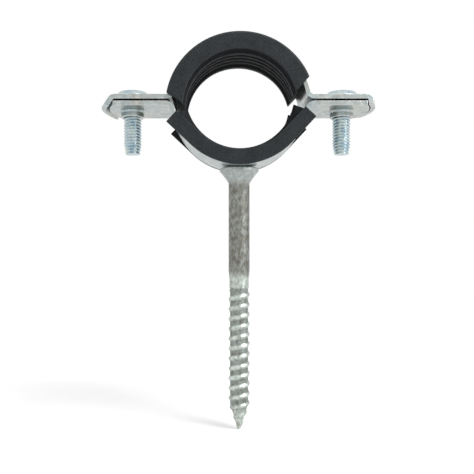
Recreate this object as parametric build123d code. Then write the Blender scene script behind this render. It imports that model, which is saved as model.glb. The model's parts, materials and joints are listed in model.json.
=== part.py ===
from build123d import *
from math import asin, cos, degrees, radians, sin, sqrt, tan
import os

# Rubber lined pipe clamp in two halves, held by two clamp screws and carried by a coach screw.
# Millimetres. X runs along the ears, Y along the pipe, Z up away from the coach screw.
# The origin is the middle of the joint between the two halves, on the pipe's axis.

# Bands: steel strip, bent to an arc with an ear at each end
strip_width = 20.0
strip_thickness = 1.5
arc_offset = 2.4            # each arc's centre lies this far on the other half's side of the joint
joint_gap = 0.7             # between the ears, closed with no pipe
neck_inside_radius = 1.5    # tight side of the bend from arc to ear
ear_reach = 21.8            # from the arc's inner face to the tip of a lower ear
ear_end_radius = 23.0       # the ear's rounded end, seen from above

# Hooks: the upper ears' ends, turned down over the lower ears' ends
hook_clearance = 0.25
hook_bend_radius = 0.5
hook_depth = 1.6            # how far the hook reaches below the joint
left_hook_angle = 60.0
right_hook_angle = 84.0
fan_start = 0.75            # share of the end's radius where the flat ear turns into the round end
fan_overlap = 0.1           # share of the radius by which the round end laps over the flat ear

# Clamp screws
left_screw_reach = 14.3     # from the arc's inner face to the screw's axis
right_screw_reach = 12.9
clamp_screw_diameter = 6.0
clamp_screw_length = 18.2
clamp_head_diameter = 12.0
clamp_head_height = 3.6
clamp_head_rim = 1.5
clamp_crown_diameter = 10.4
clamp_crown_height = 1.0   # of the dome above the slanted side
clamp_tip_length = 3.6
clamp_tip_taper = 0.45
flute_length = 6.0
flute_depth = 1.1
recess_width = 1.5
recess_span = 6.4
recess_depth = 2.0
clearance_hole_slack = 0.6
thread_slack = 0.1

# Collars drawn down around the tapped holes of the lower ears
collar_height = 2.2
collar_wall = 0.85
collar_flare = 0.5
collar_bevel = 0.25

# Rubber linings: a ribbed pad inside the band, with side walls and lips that grip the strip's edges
seat_radius = 17.9          # the pad's crests, which hold the pipe
lining_depth = 4.0          # from the crests to the band's inner face
pad_clearance = 0.05
wall_thickness = 1.45
wall_setback = 0.8          # from the crests to the side walls' inner edge
lip_thickness = 0.9
lip_reach = 2.6
wall_edge_bevel = 0.6
crest_width = 1.4
crest_inset = 3.2           # from the lining's side face to the crest
pad_shoulder = 0.55         # pad left at the side face, beside the strip
valley_depth = 0.8
rib_count = 3
rib_pitch = 3.3
rib_height = 0.35
rib_width = 1.5
rib_top = 0.5

upper_end_slope = 41.0      # the lining's ends are cut on a slant
upper_slip = 6.3            # degrees the lining has slid round in its band
upper_lip_relief = 22.0     # degrees from the arc's level where the lips stop
wall_spare = 10.0           # degrees of wall past the arc's level, before the slanted cut

lower_end_drop = 1.8        # the lining's ends stop this far below the joint
lower_end_slope = 35.0
lower_slip = 1.9
splay_start = 45.0          # degrees from the bottom where the side walls leave the arc
splay_length = 10.8         # and run on straight

# Coach screw, from its head down to its point
head_rim_diameter = 13.2
head_rim_height = 1.0
head_cone_height = 4.0
head_rim_chamfer = 0.3
head_neck_chamfer = 1.2
shank_diameter = 7.1
shank_length = 29.8
neck_diameter = 6.4
neck_taper_length = 2.8
neck_length = 2.8
thread_diameter = 7.1
thread_length = 39.5
point_length = 7.8
point_diameter = 1.8
weld_pad_diameter = 8.0
weld_pad_height = 0.15

# Worked out from the sizes above
band_radius = seat_radius + lining_depth
half_strip = strip_width / 2
half_gap = joint_gap / 2
band_outer_radius = band_radius + strip_thickness
ear_top = half_gap + strip_thickness
neck_outside_radius = neck_inside_radius + strip_thickness
ear_tip = band_radius + ear_reach
ear_end_centre = ear_tip - ear_end_radius
left_screw_place = band_radius + left_screw_reach
right_screw_place = band_radius + right_screw_reach
slot_half_width = half_strip + pad_clearance
side_face = slot_half_width + wall_thickness
pad_outer_radius = band_radius - pad_clearance
wall_inner_radius = seat_radius + wall_setback
lip_inner_radius = band_outer_radius + pad_clearance
lining_radius = lip_inner_radius + lip_thickness
thread_bore_radius = (clamp_screw_diameter + thread_slack) / 2
far = 4 * lining_radius

upper_arc = Vector(0, 0, -arc_offset)
lower_arc = Vector(0, 0, arc_offset)


def section(*corners):
    """A closed face in the XZ plane, from (x, z) corners."""
    return Plane.XZ * make_face(Polyline(*corners, close=True))


def slab(face, low, high):
    """The XZ face as a solid that spans Y from low to high."""
    solid = extrude(face, amount=(high - low) / 2, both=True)
    return Pos(0, (low + high) / 2, 0) * solid


def nearest(vertices, x, z):
    """The vertex that lies closest to (x, z)."""
    return sorted(vertices, key=lambda v: (v.X - x) ** 2 + (v.Y - z) ** 2)[0]


# ---------------------------------------------------------------- bands

def band_outline():
    """The upper half's bent strip seen along the pipe: an arc with two flat ears."""
    ring = Circle(band_outer_radius) - Circle(band_radius)
    ring = Pos(0, -arc_offset) * ring
    above = Pos(0, half_gap + far / 2) * Rectangle(2 * far, far)
    inner_x = sqrt(band_radius ** 2 - (arc_offset + half_gap) ** 2)
    outer_x = sqrt(band_outer_radius ** 2 - (arc_offset + ear_top) ** 2)
    outline = ring & above
    for side in (-1, 1):
        middle = side * (inner_x + outer_x) / 2
        tip = side * ear_tip
        outline += Pos((middle + tip) / 2, half_gap + strip_thickness / 2) * Rectangle(
            abs(tip - middle), strip_thickness)
    for side in (-1, 1):
        corner = nearest(outline.vertices(), side * inner_x, half_gap)
        outline = fillet(corner, neck_outside_radius)
        corner = nearest(outline.vertices(), side * outer_x, ear_top)
        outline = fillet(corner, neck_inside_radius)
    return outline


def bent_strip():
    """The upper half's strip at full width, with square ear ends."""
    return slab(Plane.XZ * band_outline(), -half_strip, half_strip)


def beyond(side, radius):
    """What lies past an ear's rounded end of the given radius, on one side."""
    block = Pos(side * (ear_end_centre + far / 2), 0, 0) * Box(far, far, far)
    return block - Pos(side * ear_end_centre, 0, 0) * Cylinder(radius, far)


def hook(side, angle):
    """An upper ear's rounded end, turned down by angle and revolved about the end's centre."""
    turn = radians(angle)
    down = Vector(cos(turn), -sin(turn))
    inward = Vector(-sin(turn), -cos(turn))
    # the inner face passes outside the lower ear's top edge
    corner_x = ear_end_radius + hook_clearance - joint_gap / tan(turn)
    inner_corner = Vector(corner_x, half_gap)
    outer_corner = Vector(corner_x + strip_thickness * tan(turn / 2), ear_top)
    length = (ear_top + hook_depth) / sin(turn)
    start = ear_end_radius * (fan_start - fan_overlap)
    outer_end = outer_corner + down * length
    inner_end = outer_end + inward * strip_thickness
    outer = FilletPolyline((start, ear_top), outer_corner, outer_end,
                           radius=hook_bend_radius + strip_thickness)
    inner = FilletPolyline(inner_end, inner_corner, (start, half_gap), radius=hook_bend_radius)
    closing = Line(outer_end, inner_end) + Line((start, half_gap), (start, ear_top))
    face = Plane.XZ * make_face(outer + inner + closing)
    half_turn = degrees(asin(half_strip / (ear_end_radius * (fan_start - fan_overlap))))
    fan = revolve(Rot(0, 0, -half_turn) * face, Axis.Z, 2 * half_turn)
    fan &= Box(far, strip_width, far)
    if side < 0:
        fan = mirror(fan, Plane.YZ)
    return Pos(side * ear_end_centre, 0, 0) * fan


def upper_band():
    """Top strip: arc, two ears with clearance holes, and hooked ends."""
    band = bent_strip()
    for side, angle in ((-1, left_hook_angle), (1, right_hook_angle)):
        band -= beyond(side, ear_end_radius * fan_start)
        band += hook(side, angle)
    hole_radius = (clamp_screw_diameter + clearance_hole_slack) / 2
    for place in (-left_screw_place, right_screw_place):
        band -= Pos(place, 0, 0) * Cylinder(hole_radius, far)
    return band.clean()


def collar(place):
    """The collar drawn down around a tapped hole, with a flared root and a bevelled edge."""
    outer = thread_bore_radius + collar_wall
    root, foot = -ear_top, -ear_top - collar_height
    inside_ear = root + strip_thickness / 2
    corners = [(0, inside_ear), (outer + collar_flare, inside_ear), (outer + collar_flare, root),
               (outer, root - collar_flare), (outer, foot + collar_bevel), (outer - collar_bevel, foot),
               (0, foot)]
    return Pos(place, 0, 0) * revolve(section(*corners), Axis.Z)


def lower_band():
    """Bottom strip: the upper one's mirror image, with tapped collars in plain rounded ears."""
    band = mirror(bent_strip(), Plane.XY)
    for side in (-1, 1):
        band -= beyond(side, ear_end_radius)
    for place in (-left_screw_place, right_screw_place):
        band += collar(place)
    for place in (-left_screw_place, right_screw_place):
        band -= Pos(place, 0, 0) * Cylinder(thread_bore_radius, far)
    return band


# ---------------------------------------------------------------- linings

def pad_section():
    """Half the pad's cross-section, as (radius, y) corners from the middle to the side face."""
    valley = seat_radius + valley_depth
    crest_outer = side_face - crest_inset
    crest_inner = crest_outer - crest_width
    corners = [(pad_outer_radius, 0)]
    corners += [(pad_outer_radius, side_face), (pad_outer_radius - pad_shoulder, side_face)]
    corners += [(seat_radius, crest_outer), (seat_radius, crest_inner), (valley, crest_inner - valley_depth)]
    for number in reversed(range(-(rib_count // 2), rib_count // 2 + 1)):
        middle = number * rib_pitch
        if middle < 0:
            continue
        corners += [(valley, middle + rib_width / 2), (valley - rib_height, middle + rib_top / 2)]
        if middle > 0:
            corners += [(valley - rib_height, middle - rib_top / 2), (valley, middle - rib_width / 2)]
    corners += [(valley - rib_height, 0)]
    return corners


def pad(arc):
    """The ribbed pad as a full ring about an arc's centre."""
    half = make_face(Polyline(*pad_section(), close=True))
    whole = half + mirror(half, Plane.XZ)
    return Pos(*arc) * revolve(whole, Axis.Y)


def wall_section():
    """The front side wall and its lip, as a face in (radius, y) with a bevelled outer edge."""
    y_out, y_in = -side_face, -slot_half_width
    lip_end = -half_strip + lip_reach
    corners = [(wall_inner_radius, y_out), (lining_radius, y_out), (lining_radius, lip_end),
               (lip_inner_radius, lip_end), (lip_inner_radius, y_in), (wall_inner_radius, y_in)]
    face = make_face(Polyline(*corners, close=True))
    return chamfer(nearest(face.vertices(), lining_radius, y_out), wall_edge_bevel)


def both_walls(front):
    """The front wall and its mirror image at the back."""
    return front + mirror(front, Plane.XZ)


def arc_walls(arc, low, high):
    """Side walls that follow the arc from low to high degrees, counted from +X upwards."""
    face = Rot(0, -low, 0) * wall_section()
    front = revolve(face, Axis((0, 0, 0), (0, -1, 0)), high - low)
    return both_walls(Pos(*arc) * front)


def straight_walls(arc, angle, side):
    """Side walls that leave the arc at an angle and run on straight, towards one side."""
    face = Rot(0, -angle, 0) * wall_section()
    tangent = Vector(-sin(radians(angle)), 0, cos(radians(angle))) * side
    front = extrude(face, amount=splay_length, dir=tangent)
    return both_walls(Pos(*arc) * front)


def trimmed(lining, arc, drop, slope):
    """The upper half of a lining, cut on a slant from the seat's ends outwards."""
    x_in = sqrt(seat_radius ** 2 - (arc_offset + drop) ** 2)
    x_far, z_far = x_in + far, drop + far * tan(radians(slope))
    keep = section((-x_in, drop), (x_in, drop), (x_far, z_far), (x_far, far * 2),
                   (-x_far, far * 2), (-x_far, z_far))
    return lining & slab(keep, -2 * side_face, 2 * side_face)


def lip_relief():
    """Wedges that stop the upper lips short of the bends into the ears."""
    reach = far
    rise = reach * tan(radians(upper_lip_relief))
    ring = slab(Plane.XZ * (Circle(far) - Circle((band_radius + band_outer_radius) / 2)),
                -slot_half_width, slot_half_width)
    wedges = section((0, 0), (reach, rise), (reach, -reach), (-reach, -reach), (-reach, rise))
    return Pos(*upper_arc) * (ring & slab(wedges, -slot_half_width, slot_half_width))


def upper_lining():
    """Lining of the upper half, slid round in its band."""
    lining = pad(upper_arc) + arc_walls(upper_arc, -wall_spare, 180 + wall_spare)
    lining = trimmed(lining, upper_arc, 0, upper_end_slope) - lip_relief()
    turned = Rot(0, -upper_slip, 0) * (Pos(*-upper_arc) * lining)
    return Pos(*upper_arc) * turned


def lower_lining():
    """Lining of the lower half. Its side walls spring away from the band near their ends."""
    low = -90 - splay_start
    high = -90 + splay_start
    cushion = mirror(trimmed(pad(upper_arc), upper_arc, lower_end_drop, lower_end_slope), Plane.XY)
    walls = arc_walls(lower_arc, low, high)
    walls += straight_walls(lower_arc, low, -1) + straight_walls(lower_arc, high, 1)
    lining = cushion + walls
    turned = Rot(0, -lower_slip, 0) * (Pos(*-lower_arc) * lining)
    return Pos(*lower_arc) * turned


# ---------------------------------------------------------------- screws

def drive_recess(top):
    """A cross recess with tapered floors, cut down from the top of a clamp screw's head."""
    arm = make_face(Polyline((-recess_span / 2, top + recess_depth), (recess_span / 2, top + recess_depth),
                             (recess_width / 2, top - recess_depth),
                             (-recess_width / 2, top - recess_depth), close=True))
    blade = slab(Plane.XZ * arm, -recess_width / 2, recess_width / 2)
    return blade + Rot(0, 0, 90) * blade


def clamp_screw(place):
    """Pan head machine screw, driven down through both ears, with a fluted thread-cutting tip."""
    radius = clamp_screw_diameter / 2
    head_radius = clamp_head_diameter / 2
    seat, top = ear_top, ear_top + clamp_head_height
    tip = seat - clamp_screw_length
    shoulder = tip + clamp_tip_length
    tip_radius = radius - clamp_tip_taper
    crown, crown_radius = top - clamp_crown_height, clamp_crown_diameter / 2
    dome_radius = (crown_radius ** 2 + clamp_crown_height ** 2) / (2 * clamp_crown_height)
    outline = Line((0, top), (0, tip))
    outline += Line((0, tip), (tip_radius, tip))
    outline += Line((tip_radius, tip), (radius, shoulder))
    outline += Line((radius, shoulder), (radius, seat))
    outline += Line((radius, seat), (head_radius, seat))
    outline += Line((head_radius, seat), (head_radius, seat + clamp_head_rim))
    outline += Line((head_radius, seat + clamp_head_rim), (crown_radius, crown))
    outline += RadiusArc((crown_radius, crown), (0, top), -dome_radius)
    screw = revolve(Plane.XZ * make_face(outline), Axis.Z)
    flute = Pos(0, -radius, tip + flute_length / 2) * Box(flute_depth, 2 * flute_depth, flute_length)
    screw -= flute
    screw -= drive_recess(top)
    return Pos(place, 0, 0) * screw


def coach_blank(level):
    """Head, shank, waist, threaded length and point, downwards from level. The thread is left plain."""
    rim, shank = head_rim_diameter / 2, shank_diameter / 2
    neck, thread, point = neck_diameter / 2, thread_diameter / 2, point_diameter / 2
    z = level - head_rim_height
    corners = [(0, level), (rim - head_rim_chamfer, level), (rim, level - head_rim_chamfer), (rim, z)]
    z -= head_cone_height
    corners += [(shank, z)]
    z -= shank_length
    corners += [(shank, z)]
    z -= neck_taper_length
    corners += [(neck, z)]
    z -= neck_length
    corners += [(neck, z), (thread, z - (thread - neck))]
    z -= thread_length
    corners += [(thread, z)]
    z -= point_length
    corners += [(point, z), (0, z - point)]
    face = make_face(Polyline(*corners, close=True))
    cone_foot = nearest(face.vertices(), shank, level - head_rim_height - head_cone_height)
    face = chamfer(cone_foot, head_neck_chamfer)
    return revolve(Plane.XZ * face, Axis.Z)


def coach_screw():
    """Coach screw welded under the lower band."""
    band_bottom = lower_arc.Z - band_outer_radius
    level = band_bottom - weld_pad_height
    pad_top = band_bottom + band_outer_radius - sqrt(
        band_outer_radius ** 2 - (weld_pad_diameter / 2) ** 2)
    weld_pad = Pos(0, 0, (level + pad_top) / 2) * Cylinder(weld_pad_diameter / 2, pad_top - level)
    saddle = Pos(*lower_arc) * Rot(90, 0, 0) * Cylinder(band_outer_radius, far)
    return coach_blank(level) + (weld_pad - saddle)


def write_parts():
    """Builds every node and writes each to its own STEP file."""
    os.makedirs("parts", exist_ok=True)
    nodes = {
        "upper_band": upper_band(),
        "lower_band": lower_band(),
        "upper_lining": upper_lining(),
        "lower_lining": lower_lining(),
        "clamp_screw_left": clamp_screw(-left_screw_place),
        "clamp_screw_right": clamp_screw(right_screw_place),
        "coach_screw": coach_screw(),
    }
    for name, shape in nodes.items():
        solids = shape.solids()
        print(name, len(solids), "solid(s)", round(shape.volume, 1), "mm3")
        export_step(solids[0] if len(solids) == 1 else Compound(solids), f"parts/{name}.step")


write_parts()
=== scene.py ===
import bpy
import bmesh
import json
import math
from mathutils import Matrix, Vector


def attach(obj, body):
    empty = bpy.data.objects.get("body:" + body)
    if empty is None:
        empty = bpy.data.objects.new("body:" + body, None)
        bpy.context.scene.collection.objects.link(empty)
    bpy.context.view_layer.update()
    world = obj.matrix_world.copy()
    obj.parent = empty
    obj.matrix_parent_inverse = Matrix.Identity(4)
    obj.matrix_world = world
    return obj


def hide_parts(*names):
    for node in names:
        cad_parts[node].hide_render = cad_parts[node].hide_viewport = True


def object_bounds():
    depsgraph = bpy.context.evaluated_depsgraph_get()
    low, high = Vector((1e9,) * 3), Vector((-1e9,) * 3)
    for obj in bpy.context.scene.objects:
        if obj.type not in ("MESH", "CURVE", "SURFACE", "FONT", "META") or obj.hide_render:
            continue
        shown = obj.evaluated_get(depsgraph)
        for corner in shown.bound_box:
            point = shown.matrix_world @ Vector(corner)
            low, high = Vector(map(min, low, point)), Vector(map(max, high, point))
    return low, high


# Rubber lined pipe clamp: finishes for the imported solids, screws with their threads, and a
# lower lining whose lips end level with its band.
# Metres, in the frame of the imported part: X along the ears, Y along the pipe, Z up.

MM = 0.001

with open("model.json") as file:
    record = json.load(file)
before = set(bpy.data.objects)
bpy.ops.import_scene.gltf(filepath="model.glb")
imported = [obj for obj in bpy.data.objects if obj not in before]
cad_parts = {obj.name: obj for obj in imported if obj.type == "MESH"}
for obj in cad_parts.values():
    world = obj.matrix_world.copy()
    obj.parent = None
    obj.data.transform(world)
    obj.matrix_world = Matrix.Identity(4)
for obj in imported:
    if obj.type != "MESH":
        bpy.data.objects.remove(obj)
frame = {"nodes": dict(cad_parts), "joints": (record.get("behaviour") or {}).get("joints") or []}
cad_box = [list(corner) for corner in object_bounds()]
nodes = frame["nodes"]
joints = {joint["name"]: joint for joint in frame["joints"]}

# Camera: level, a little below the ears, and left of the pipe's axis
PHOTO_PX = 474
FOCAL_PX = 621.0
VIEW_CENTRE_PX = (215.0, 252.0)      # where the camera's own axis meets the picture
CAMERA_PLACE = Vector((-8.2, -211.5, -49.5)) * MM
SENSOR_MM = 36.0

# Machine screws, about their own axis: heads seat on the upper ears
SEAT_LEVEL = 1.85 * MM
MACHINE_HEAD_RADIUS = 6.0 * MM
MACHINE_HEAD_RIM = 1.3 * MM
MACHINE_HEAD_HEIGHT = 3.15 * MM
MACHINE_CROWN_RADIUS = 5.1 * MM
MACHINE_CROWN_HEIGHT = 0.8 * MM
MACHINE_RADIUS = 3.0 * MM
MACHINE_ROOT_RADIUS = 2.62 * MM
MACHINE_PITCH = 1.0 * MM
MACHINE_TIP = -16.35 * MM
MACHINE_TIP_LENGTH = 3.6 * MM
MACHINE_TIP_TAPER = 0.45 * MM
MACHINE_PLAIN_LEVEL = 0.9 * MM       # the thread starts below this
RECESS_WIDTH = 1.5 * MM
RECESS_SPAN = 6.4 * MM
RECESS_DEPTH = 1.9 * MM
MACHINE_CREST, MACHINE_FLANK = 0.14, 0.38    # shares of a pitch
MACHINE_COLUMNS = 64
MACHINE_ROWS_A_PITCH = 16
CROWN_TILTS = (18, 36, 54, 72, 90)           # degrees, the rings that round the head's crown
RIM_BREAK = 0.1 * MM                         # the head's broken edges

# Lower lining, about its band's own centre: its side walls end level with the steel
LOWER_ARC_LEVEL = 2.4 * MM
FLUSH_RADIUS = 23.42 * MM
WALL_ARC = (-133.1, -43.1)           # degrees, between the straight ends of the walls
WALL_STRAIGHT = 16.0 * MM            # past the walls' straight ends
CUTTER_STEPS = 48
CUTTER_HALF = 20 * MM                # along the pipe, past the lining's side faces
CUTTER_OUTSIDE = 1.5                 # its outer outline, as a multiple of its inner one
INNER_SHADE_HALF = 10.8 * MM                 # the painted shade on the inner body ends this far from the middle
INNER_SHADE_BLEND = 0.4 * MM                 # from the painted shade on the inner body to the walls' own dusty colour

# Coach screw, downwards from the weld
COACH_HEAD_LEVEL = -21.15 * MM
COACH_RIM_RADIUS = 6.6 * MM
COACH_RIM_HEIGHT = 1.0 * MM
COACH_CONE_LEVEL = -26.15 * MM
COACH_SHANK_RADIUS = 3.55 * MM
COACH_SHANK_END = -55.95 * MM
COACH_WAIST_RADIUS = 3.3 * MM
COACH_WAIST_TOP = -58.75 * MM
COACH_THREAD_TOP = -61.7 * MM
COACH_THREAD_END = -101.05 * MM
COACH_POINT_END = -109.7 * MM
COACH_POINT_RADIUS = 0.5 * MM
COACH_CREST_RADIUS = 3.6 * MM
COACH_ROOT_RADIUS = 3.08 * MM
COACH_PITCH = 3.355 * MM
COACH_CREST_LEVEL = -67.27 * MM      # a crest's height on the +X side
WELD_RADIUS = 4.0 * MM
WELD_TOP = -20.6 * MM
CONE_BLEND = 1 * MM                  # half the change from the shank's finish to the head's
COACH_CREST, COACH_FLANK = 0.10, 0.24        # shares of a pitch
COACH_COLUMNS = 96
COACH_ROWS_A_PITCH = 32
COACH_RIM_BREAK = 0.3 * MM
CONE_STEP = 0.5 * MM
CONE_CURVE = 0.85                            # under 1 makes the cone slightly hollow
SHANK_STEP = 3 * MM
WAIST_STEP = 1 * MM
THREAD_START_GAP = 0.05 * MM                 # keeps the waist's last ring off the thread's first
POINT_THREAD_LOSS = 0.6                      # share of the ridge that the point loses
THREAD_RISE = COACH_PITCH / 2                # where the ridge grows in, below the waist
POINT_FADE = COACH_PITCH / 3                 # where the ridge dies away, above the tip

# Shading
SHARP_ANGLE = math.radians(35)
BEVEL_SAMPLES = 6
# painted highlight: the pale zinc colour laid along the zinc parts' sharp edges
ZINC_EDGE_HIGHLIGHT = (0.9, 0.9, 0.9)

# Floor and light
FLOOR_HALF = 0.9
FLOOR_DROP = 0.05 * MM                       # below the coach screw's point
FLOOR_LIFT = 0.47                            # brings the lit floor up to the white background
FILL_STRENGTH = 0.5


# ---------------------------------------------------------------- materials

class Nodes:
    """A material's node tree, with short calls to add and join nodes."""

    def __init__(self, name):
        self.material = bpy.data.materials.new(name)
        self.material.use_nodes = True
        self.tree = self.material.node_tree
        self.shader = self.tree.nodes["Principled BSDF"]
        self.place = self.add("ShaderNodeTexCoord").outputs["Object"]

    def add(self, kind, **settings):
        node = self.tree.nodes.new(kind)
        for key, value in settings.items():
            setattr(node, key, value)
        return node

    def join(self, output, socket):
        self.tree.links.new(output, socket)

    def set(self, **values):
        for key, value in values.items():
            self.shader.inputs[key.replace("_", " ")].default_value = value

    def scaled(self, scale):
        """Object coordinates stretched by scale along X, Y and Z."""
        mapping = self.add("ShaderNodeMapping")
        mapping.inputs["Scale"].default_value = scale
        self.join(self.place, mapping.inputs["Vector"])
        return mapping.outputs["Vector"]

    def noise(self, size, detail=4.0, roughness=0.55, stretch=(1, 1, 1)):
        """Noise whose blotches are about size metres wide, stretched along the axes."""
        noise = self.add("ShaderNodeTexNoise")
        noise.inputs["Scale"].default_value = 1.0
        noise.inputs["Detail"].default_value = detail
        noise.inputs["Roughness"].default_value = roughness
        self.join(self.scaled([1 / (size * s) for s in stretch]), noise.inputs["Vector"])
        return noise.outputs["Fac"]

    def ramp(self, value, *stops):
        """A colour ramp through (position, colour) stops."""
        ramp = self.add("ShaderNodeValToRGB")
        elements = ramp.color_ramp.elements
        while len(elements) < len(stops):
            elements.new(0.5)
        for element, (position, colour) in zip(elements, stops):
            element.position = position
            element.color = (*colour, 1)
        self.join(value, ramp.inputs["Fac"])
        return ramp.outputs["Color"]

    def grey(self, value, *stops):
        """A ramp through (position, grey level) stops."""
        return self.ramp(value, *[(position, (level,) * 3) for position, level in stops])

    def mix(self, factor, first, second, blend="MIX"):
        """Two colours mixed. Each value is a socket, a number or a colour."""
        mix = self.add("ShaderNodeMix", data_type="RGBA", blend_type=blend)
        for socket, value in (("Factor", factor), ("A", first), ("B", second)):
            inputs = [i for i in mix.inputs if i.name == socket and i.type in ("VALUE", "RGBA")]
            target = inputs[0] if socket == "Factor" else inputs[-1]
            if isinstance(value, bpy.types.NodeSocket):
                self.join(value, target)
            else:
                target.default_value = (*value, 1) if isinstance(value, tuple) else value
        return [o for o in mix.outputs if o.type == "RGBA"][0]

    def bump(self, height, distance, strength, normal):
        """A normal roughened by height, about distance metres deep."""
        bump = self.add("ShaderNodeBump")
        bump.inputs["Strength"].default_value = strength
        bump.inputs["Distance"].default_value = distance
        self.join(height, bump.inputs["Height"])
        self.join(normal, bump.inputs["Normal"])
        return bump.outputs["Normal"]

    def rounded(self, radius):
        """Normals that round off sharp edges."""
        bevel = self.add("ShaderNodeBevel", samples=BEVEL_SAMPLES)
        bevel.inputs["Radius"].default_value = radius
        return bevel.outputs["Normal"]

    def edges(self, radius, low, high):
        """1 along sharp edges, within about radius of them, and 0 on flat ground: the mask for
        painted edge highlights.
        """
        away = self.add("ShaderNodeVectorMath", operation="DOT_PRODUCT")
        self.join(self.rounded(radius), away.inputs[0])
        self.join(self.add("ShaderNodeNewGeometry").outputs["Normal"], away.inputs[1])
        return self.grey(away.outputs["Value"], (low, 1.0), (high, 0.0))

    def reach(self, low, high):
        """0 at distance low from the Z axis, 1 at distance high."""
        flat = self.add("ShaderNodeVectorMath", operation="MULTIPLY")
        flat.inputs[1].default_value = (1, 1, 0)
        self.join(self.place, flat.inputs[0])
        length = self.add("ShaderNodeVectorMath", operation="LENGTH")
        self.join(flat.outputs["Vector"], length.inputs[0])
        return self.share(length.outputs["Value"], low, high)

    def across(self, low, high):
        """0 at distance low from the middle of the pipe's length, 1 at distance high."""
        parts = self.add("ShaderNodeSeparateXYZ")
        self.join(self.place, parts.inputs[0])
        away = self.add("ShaderNodeMath", operation="ABSOLUTE")
        self.join(parts.outputs["Y"], away.inputs[0])
        return self.share(away.outputs[0], low, high)

    def level(self, low, high):
        """0 at height low, 1 at height high."""
        parts = self.add("ShaderNodeSeparateXYZ")
        self.join(self.place, parts.inputs[0])
        return self.share(parts.outputs["Z"], low, high)

    def share(self, value, low, high):
        """0 where the value is low, 1 where it is high."""
        share = self.add("ShaderNodeMapRange")
        share.inputs["From Min"].default_value = low
        share.inputs["From Max"].default_value = high
        self.join(value, share.inputs["Value"])
        return share.outputs["Result"]

    def colour(self, output):
        self.join(output, self.shader.inputs["Base Color"])

    def roughness(self, output):
        self.join(output, self.shader.inputs["Roughness"])

    def normal(self, output):
        self.join(output, self.shader.inputs["Normal"])


def zinc_strip():
    """Zinc plate on rolled strip: faint blue and straw tints, fine rolling lines, and painted
    highlights along the edges.
    """
    m = Nodes("zinc_strip_plate")
    m.set(Metallic=1.0)
    tint = m.ramp(m.noise(7 * MM, detail=4), (0.3, (0.41, 0.49, 0.52)), (0.5, (0.47, 0.52, 0.51)),
                  (0.7, (0.54, 0.54, 0.49)))
    cloud = m.grey(m.noise(1.6 * MM, detail=6), (0.35, 0.74), (0.65, 1.0))
    plate = m.mix(1.0, tint, cloud, "MULTIPLY")
    # painted highlight: the strip's sharp edges paled towards the highlight colour
    m.colour(m.mix(m.edges(0.2 * MM, 0.86, 0.985), plate, ZINC_EDGE_HIGHLIGHT))
    m.roughness(m.grey(m.noise(3 * MM, detail=5), (0.3, 0.26), (0.7, 0.42)))
    lines = m.noise(0.25 * MM, detail=2, stretch=(30, 1, 30))
    grain = m.noise(0.5 * MM, detail=4)
    soft = m.bump(grain, 0.03 * MM, 0.6, m.rounded(0.25 * MM))
    m.normal(m.bump(lines, 0.012 * MM, 0.5, soft))
    return m.material


def zinc_screw():
    """Blue-white zinc plate on the machine screws, with a painted highlight along the thread's
    crests.
    """
    m = Nodes("zinc_screw_plate")
    m.set(Metallic=1.0)
    plate = m.ramp(m.noise(2.5 * MM), (0.35, (0.340, 0.454, 0.517)), (0.65, (0.580, 0.643, 0.630)))
    # painted highlight: the sharp edges and thread crests paled towards the highlight colour
    m.colour(m.mix(m.edges(0.12 * MM, 0.80, 0.98), plate, ZINC_EDGE_HIGHLIGHT))
    m.roughness(m.grey(m.noise(1.5 * MM), (0.3, 0.22), (0.7, 0.38)))
    m.normal(m.bump(m.noise(0.4 * MM), 0.02 * MM, 0.5, m.rounded(0.08 * MM)))
    return m.material


def zinc_coach_screw():
    """Dull zinc plate on the forged coach screw: mottled brown-grey shank, cleaner thread with
    painted shade in its roots, and painted highlights along the edges.
    """
    m = Nodes("zinc_coach_screw_plate")
    m.set(Metallic=1.0)
    mottle = m.noise(1.1 * MM, detail=6, roughness=0.7, stretch=(1, 1, 1.8))
    shank = m.ramp(mottle, (0.36, (0.130, 0.124, 0.099)), (0.5, (0.205, 0.208, 0.188)),
                   (0.64, (0.310, 0.335, 0.322)))
    shank_clean = m.ramp(mottle, (0.36, (0.298, 0.322, 0.310)), (0.64, (0.446, 0.484, 0.471)))
    thread = m.ramp(mottle, (0.36, (0.298, 0.310, 0.260)), (0.5, (0.471, 0.521, 0.484)),
                    (0.64, (0.645, 0.707, 0.682)))
    # painted shade: the thread's roots darkened to half, easing out towards the crests, along the
    # thread but not on the point
    roots = m.grey(m.reach(COACH_ROOT_RADIUS, COACH_CREST_RADIUS), (0.0, 0.50), (0.6, 1.0))
    thread_root_shade = m.mix(1.0, thread, roots, "MULTIPLY")
    rolled = m.mix(m.level(COACH_THREAD_TOP, COACH_WAIST_TOP), thread_root_shade, thread)
    thread_shade_to_point = m.mix(m.level(COACH_THREAD_END - COACH_PITCH, COACH_THREAD_END), thread, rolled)
    lower = m.mix(m.level(COACH_WAIST_TOP, COACH_SHANK_END), thread_shade_to_point, shank)
    cone = m.level(COACH_CONE_LEVEL - CONE_BLEND, COACH_CONE_LEVEL + CONE_BLEND)
    whole = m.mix(cone, lower, shank_clean)
    # painted highlight: the sharp edges paled towards a light grey-green
    m.colour(m.mix(m.edges(0.15 * MM, 0.80, 0.98), whole, (0.769, 0.818, 0.794)))
    m.roughness(m.grey(m.noise(0.9 * MM, detail=5), (0.3, 0.30), (0.7, 0.54)))
    m.normal(m.bump(mottle, 0.035 * MM, 0.6, m.rounded(0.12 * MM)))
    return m.material


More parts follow.
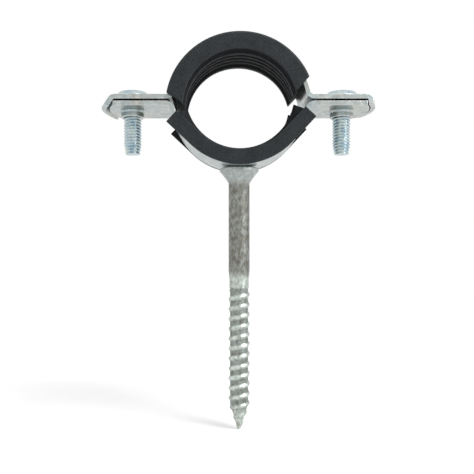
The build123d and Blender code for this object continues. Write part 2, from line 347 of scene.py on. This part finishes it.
def lining_rubber():
    """Matt black moulded rubber with a fine grain and a little bloom, painted shade on the inner
    body, and painted highlights along the edges.
    """
    m = Nodes("lining_rubber_moulded")
    m.set(Specular_IOR_Level=0.22)
    bloom = m.noise(5 * MM, detail=5)
    skin = m.ramp(bloom, (0.3, (0.012, 0.0145, 0.016)), (0.7, (0.023, 0.027, 0.030)))
    speckle = m.grey(m.noise(0.55 * MM, detail=5, roughness=0.7), (0.38, 0.45), (0.62, 1.55))
    dusty = m.mix(1.0, skin, speckle, "MULTIPLY")
    # painted shade: near black on the inner body between the side walls, which lies in shade behind
    # them; the walls keep the dusty rubber
    faces = m.mix(m.across(INNER_SHADE_HALF, INNER_SHADE_HALF + INNER_SHADE_BLEND), (0.005, 0.006, 0.008), dusty)
    # painted highlight: paler rubber along the sharp edges
    m.colour(m.mix(m.edges(0.22 * MM, 0.80, 0.97), faces, (0.095, 0.105, 0.115)))
    m.roughness(m.grey(m.noise(2 * MM, detail=4), (0.3, 0.55), (0.7, 0.7)))
    grain = m.noise(0.18 * MM, detail=3)
    m.normal(m.bump(grain, 0.02 * MM, 0.6, m.rounded(0.3 * MM)))
    return m.material


def dress(name, material):
    """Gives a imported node's object one material."""
    mesh = nodes[name].data
    mesh.materials.clear()
    mesh.materials.append(material)


# ---------------------------------------------------------------- screws and lining

def added(name, data):
    """A new object in the scene."""
    thing = bpy.data.objects.new(name, data)
    bpy.context.scene.collection.objects.link(thing)
    return thing


def finished(shape, name):
    """A mesh made from a bmesh, with its faces turned outwards."""
    bmesh.ops.recalc_face_normals(shape, faces=shape.faces)
    data = bpy.data.meshes.new(name)
    shape.to_mesh(data)
    shape.free()
    return data


def new_piece(name, mesh, body, material):
    """A mesh object that rides on a body and takes the given material."""
    piece = added(name, mesh)
    mesh.materials.append(material)
    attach(piece, body)
    return piece


def ridge(turns, crest, flank):
    """Height, 0 to 1, of a ridge at a share of a turn from its middle, with a flat crest."""
    away = abs((turns + 0.5) % 1.0 - 0.5)
    return min(1.0, max(0.0, (crest / 2 + flank - away) / flank))


def between(low, high, value):
    """0 at low, 1 at high, eased at both ends."""
    share = min(1.0, max(0.0, (value - low) / (high - low)))
    return share * share * (3 - 2 * share)


def evenly(start, stop, step):
    """Levels from start to stop, about a step apart."""
    count = max(1, round(abs(stop - start) / step))
    return [start + (stop - start) * index / count for index in range(count + 1)]


def turned(name, rings, columns, place=(0, 0)):
    """A closed body of (level, radius) rings, top down. A radius may be f(angle, level)."""
    mesh = bmesh.new()
    loops = []
    for level, radius in rings:
        loop = []
        for column in range(columns):
            angle = 2 * math.pi * column / columns
            reach = radius(angle, level) if callable(radius) else radius
            loop.append(mesh.verts.new((place[0] + reach * math.cos(angle),
                                        place[1] + reach * math.sin(angle), level)))
        loops.append(loop)
    for upper, lower in zip(loops, loops[1:]):
        for column in range(columns):
            after = (column + 1) % columns
            mesh.faces.new((upper[column], lower[column], lower[after], upper[after]))
    mesh.faces.new(loops[0])
    mesh.faces.new(reversed(loops[-1]))
    return finished(mesh, name)


def softened(mesh):
    """Smooth shading, with its sharp edges left crisp."""
    mesh.shade_smooth()
    mesh.set_sharp_from_angle(angle=SHARP_ANGLE)
    return mesh


def machine_thread(angle, level):
    """Radius of the machine screw's thread, which grows in below the head and tapers at the tip."""
    run = level / MACHINE_PITCH - angle / (2 * math.pi)
    depth = (MACHINE_RADIUS - MACHINE_ROOT_RADIUS) * between(
        MACHINE_PLAIN_LEVEL, MACHINE_PLAIN_LEVEL - MACHINE_PITCH, level)
    taper = MACHINE_TIP_TAPER * between(MACHINE_TIP + MACHINE_TIP_LENGTH, MACHINE_TIP, level)
    return MACHINE_RADIUS - taper - depth * (1 - ridge(run, MACHINE_CREST, MACHINE_FLANK))


def recess_blade(turn, place, top):
    """One arm of the cross recess, as a tapered block about the screw's axis."""
    wide, thin = RECESS_SPAN / 2, RECESS_WIDTH / 2
    mesh = bmesh.new()
    corners = [(wide, top + RECESS_DEPTH), (-wide, top + RECESS_DEPTH),
               (-thin, top - RECESS_DEPTH), (thin, top - RECESS_DEPTH)]
    rows = []
    for side in (-thin, thin):
        row = []
        for along, level in corners:
            x = along * math.cos(turn) - side * math.sin(turn)
            y = along * math.sin(turn) + side * math.cos(turn)
            row.append(mesh.verts.new((place + x, y, level)))
        rows.append(row)
    mesh.faces.new(rows[0])
    mesh.faces.new(reversed(rows[1]))
    for corner in range(4):
        after = (corner + 1) % 4
        mesh.faces.new((rows[0][corner], rows[1][corner], rows[1][after], rows[0][after]))
    return finished(mesh, "recess_blade")


def without(mesh, name, cutters):
    """The mesh with each cutter taken away."""
    base = added(name, mesh)
    tools = []
    for cutter in cutters:
        tool = added(cutter.name, cutter)
        cut = base.modifiers.new("cut", "BOOLEAN")
        cut.operation, cut.solver, cut.object = "DIFFERENCE", "EXACT", tool
        tools.append(tool)
    bpy.context.view_layer.update()
    depsgraph = bpy.context.evaluated_depsgraph_get()
    result = bpy.data.meshes.new_from_object(base.evaluated_get(depsgraph))
    result.name = name
    for thing in (base, *tools):
        bpy.data.objects.remove(thing)
    return result


def machine_screw(side, place, body, material):
    """Pan head machine screw with its thread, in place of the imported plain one."""
    top = SEAT_LEVEL + MACHINE_HEAD_HEIGHT
    rim = SEAT_LEVEL + MACHINE_HEAD_RIM
    rings = [(top - MACHINE_CROWN_HEIGHT * (1 - math.cos(math.radians(tilt))),
              MACHINE_CROWN_RADIUS * math.sin(math.radians(tilt))) for tilt in CROWN_TILTS]
    rings += [(rim, MACHINE_HEAD_RADIUS - RIM_BREAK), (rim - RIM_BREAK, MACHINE_HEAD_RADIUS),
              (SEAT_LEVEL + RIM_BREAK, MACHINE_HEAD_RADIUS),
              (SEAT_LEVEL, MACHINE_HEAD_RADIUS - RIM_BREAK), (SEAT_LEVEL, MACHINE_RADIUS)]
    rings += [(level, machine_thread) for level in evenly(MACHINE_PLAIN_LEVEL, MACHINE_TIP,
                                                          MACHINE_PITCH / MACHINE_ROWS_A_PITCH)]
    name = "clamp_screw_threaded_" + side
    blades = [recess_blade(turn, place, top) for turn in (0, math.pi / 2)]
    mesh = without(turned(name, rings, MACHINE_COLUMNS, (place, 0)), name, blades)
    piece = new_piece(name, softened(mesh), body, material)
    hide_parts("clamp_screw_" + side)


def coach_thread(angle, level):
    """Radius of the coach screw's coarse thread, shrinking along the point."""
    run = (level - COACH_CREST_LEVEL) / COACH_PITCH - angle / (2 * math.pi)
    point = min(1.0, max(0.0, (COACH_THREAD_END - level) / (COACH_THREAD_END - COACH_POINT_END)))
    core = COACH_ROOT_RADIUS + (COACH_POINT_RADIUS - COACH_ROOT_RADIUS) * point
    height = (COACH_CREST_RADIUS - COACH_ROOT_RADIUS) * (1 - POINT_THREAD_LOSS * point)
    height *= between(COACH_THREAD_TOP, COACH_THREAD_TOP - THREAD_RISE, level)
    height *= between(COACH_POINT_END, COACH_POINT_END + POINT_FADE, level)
    return core + height * ridge(run, COACH_CREST, COACH_FLANK)


def coach_screw(material):
    """Rimmed head, cone, shank, waist and coarse thread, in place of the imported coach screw."""
    cone_top = COACH_HEAD_LEVEL - COACH_RIM_HEIGHT
    rings = [(WELD_TOP, WELD_RADIUS), (COACH_HEAD_LEVEL, WELD_RADIUS),
             (COACH_HEAD_LEVEL, COACH_RIM_RADIUS - COACH_RIM_BREAK),
             (COACH_HEAD_LEVEL - COACH_RIM_BREAK, COACH_RIM_RADIUS), (cone_top, COACH_RIM_RADIUS)]
    for level in evenly(cone_top, COACH_CONE_LEVEL, CONE_STEP)[1:]:
        share = (cone_top - level) / (cone_top - COACH_CONE_LEVEL)
        rings.append((level, COACH_RIM_RADIUS + (COACH_SHANK_RADIUS - COACH_RIM_RADIUS)
                      * share ** CONE_CURVE))
    rings += [(level, COACH_SHANK_RADIUS) for level in evenly(COACH_CONE_LEVEL, COACH_SHANK_END,
                                                              SHANK_STEP)[1:]]
    rings += [(level, COACH_WAIST_RADIUS) for level in evenly(COACH_WAIST_TOP, COACH_THREAD_TOP,
                                                              WAIST_STEP)]
    rings += [(level, coach_thread) for level in evenly(COACH_THREAD_TOP - THREAD_START_GAP,
                                                        COACH_POINT_END,
                                                        COACH_PITCH / COACH_ROWS_A_PITCH)]
    mesh = softened(turned("coach_screw_threaded", rings, COACH_COLUMNS))
    piece = new_piece("coach_screw_threaded", mesh, "lower_half", material)
    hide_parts("coach_screw")


def lip_cutter():
    """What lies outside the lower band's outer face: round its arc, then straight on both ways."""
    low, high = (math.radians(angle) for angle in WALL_ARC)
    angles = [low + (high - low) * step / CUTTER_STEPS for step in range(CUTTER_STEPS + 1)]

    def along(angle, run):
        """A point on the arc at an angle, or run past it along the tangent."""
        return (FLUSH_RADIUS * math.cos(angle) - run * math.sin(angle),
                FLUSH_RADIUS * math.sin(angle) + run * math.cos(angle))

    inner = [along(low, -WALL_STRAIGHT), *(along(angle, 0) for angle in angles),
             along(high, WALL_STRAIGHT)]
    outer = [(x * CUTTER_OUTSIDE, z * CUTTER_OUTSIDE) for x, z in inner]
    mesh = bmesh.new()
    rows = [[mesh.verts.new((x, side * CUTTER_HALF, z + LOWER_ARC_LEVEL)) for x, z in line]
            for line in (inner, outer) for side in (-1, 1)]
    in_front, in_back, out_front, out_back = rows
    for first, second in ((in_front, in_back), (out_front, out_back), (in_front, out_front),
                          (in_back, out_back)):
        for index in range(len(inner) - 1):
            mesh.faces.new((first[index], first[index + 1], second[index + 1], second[index]))
    for index in (0, -1):
        mesh.faces.new((in_front[index], in_back[index], out_back[index], out_front[index]))
    return finished(mesh, "lip_cutter")


def lower_lining(material):
    """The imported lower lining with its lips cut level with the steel, which shows from below."""
    mesh = without(nodes["lower_lining"].data.copy(), "lower_lining_flush", [lip_cutter()])
    mesh.materials.clear()
    piece = new_piece("lower_lining_flush", softened(mesh), "lower_half", material)
    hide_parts("lower_lining")


# ---------------------------------------------------------------- the part

strip = zinc_strip()
rubber = lining_rubber()
machine = zinc_screw()
for band in ("upper_band", "lower_band"):
    dress(band, strip)
dress("upper_lining", rubber)
lower_lining(rubber)
for side in ("left", "right"):
    axis = joints["clamp_screw_" + side + "_turn"]["pos_m"][0]
    machine_screw(side, axis, side + "_screw", machine)
coach_screw(zinc_coach_screw())


# ---------------------------------------------------------------- floor, light and camera

def seen_directly(tree):
    """1 for rays from the camera, from metal or through glass, 0 for the rest."""
    path = tree.nodes.new("ShaderNodeLightPath")
    seen = path.outputs["Is Camera Ray"]
    for kind in ("Is Glossy Ray", "Is Transmission Ray"):
        either = tree.nodes.new("ShaderNodeMath")
        either.operation = "MAXIMUM"
        tree.links.new(seen, either.inputs[0])
        tree.links.new(path.outputs[kind], either.inputs[1])
        seen = either.outputs[0]
    return seen


def floor_material():
    """Plain pale floor that meets the white background and keeps the part's shadow."""
    m = Nodes("floor_pale")
    m.colour(m.grey(m.noise(60 * MM), (0.4, 0.56), (0.6, 0.58)))
    m.set(Roughness=0.9, Specular_IOR_Level=0.1, Emission_Color=(1, 1, 1, 1))
    lift = m.add("ShaderNodeMath", operation="MULTIPLY")
    lift.inputs[1].default_value = FLOOR_LIFT
    m.join(seen_directly(m.tree), lift.inputs[0])
    m.join(lift.outputs[0], m.shader.inputs["Emission Strength"])
    return m.material


def floor():
    """A square floor just under the coach screw's point."""
    level = cad_box[0][2] - FLOOR_DROP
    corners = [(x * FLOOR_HALF, y * FLOOR_HALF, level)
               for x, y in ((-1, -1), (1, -1), (1, 1), (-1, 1))]
    mesh = bpy.data.meshes.new("floor")
    mesh.from_pydata(corners, [], [(0, 1, 2, 3)])
    mesh.materials.append(floor_material())
    piece = added("floor", mesh)


def aimed(light, place):
    """Points a lamp from a place at the clamp's joint."""
    light.location = place
    light.rotation_euler = (-Vector(place)).to_track_quat("-Z", "Y").to_euler()


def soft_light(name, place, size, watts):
    """A square area lamp that faces the clamp's joint."""
    lamp = bpy.data.lights.new(name, "AREA")
    lamp.size, lamp.energy = size, watts
    aimed(added(name, lamp), place)


def sun_light(place, strength, spread):
    """An even, soft-edged light from far away, which gives the floor its shadow."""
    lamp = bpy.data.lights.new("sun", "SUN")
    lamp.energy, lamp.angle = strength, math.radians(spread)
    aimed(added("sun", lamp), place)


def surroundings():
    """White where it is seen directly, in metal or through glass, and a grey fill elsewhere."""
    world = bpy.data.worlds.new("studio")
    bpy.context.scene.world = world
    world.use_nodes = True
    tree = world.node_tree
    background = tree.nodes["Background"]
    strength = tree.nodes.new("ShaderNodeMapRange")
    strength.inputs["To Min"].default_value = FILL_STRENGTH
    strength.inputs["To Max"].default_value = 1.0
    tree.links.new(seen_directly(tree), strength.inputs["Value"])
    tree.links.new(strength.outputs["Result"], background.inputs["Strength"])
    background.inputs["Color"].default_value = (1, 1, 1, 1)


def camera():
    """A level view, with the picture shifted to its own centre."""
    lens = bpy.data.cameras.new("camera")
    eye = added("camera", lens)
    eye.location = CAMERA_PLACE
    eye.rotation_euler = (math.pi / 2, 0, 0)
    lens.sensor_width = SENSOR_MM
    lens.lens = SENSOR_MM * FOCAL_PX / PHOTO_PX
    lens.shift_x = (PHOTO_PX / 2 - VIEW_CENTRE_PX[0]) / PHOTO_PX
    lens.shift_y = (VIEW_CENTRE_PX[1] - PHOTO_PX / 2) / PHOTO_PX
    lens.clip_start, lens.clip_end = 1 * MM, 10.0
    bpy.context.scene.camera = eye


floor()
soft_light("key", place=(0.48, -0.34, 0.26), size=0.30, watts=2.0)
sun_light(place=(0.35, -0.30, 0.60), strength=1.5, spread=25.0)
soft_light("side", place=(-0.50, -0.30, 0.30), size=0.40, watts=0.4)
surroundings()
camera()
bpy.context.scene.view_settings.view_transform = "Standard"
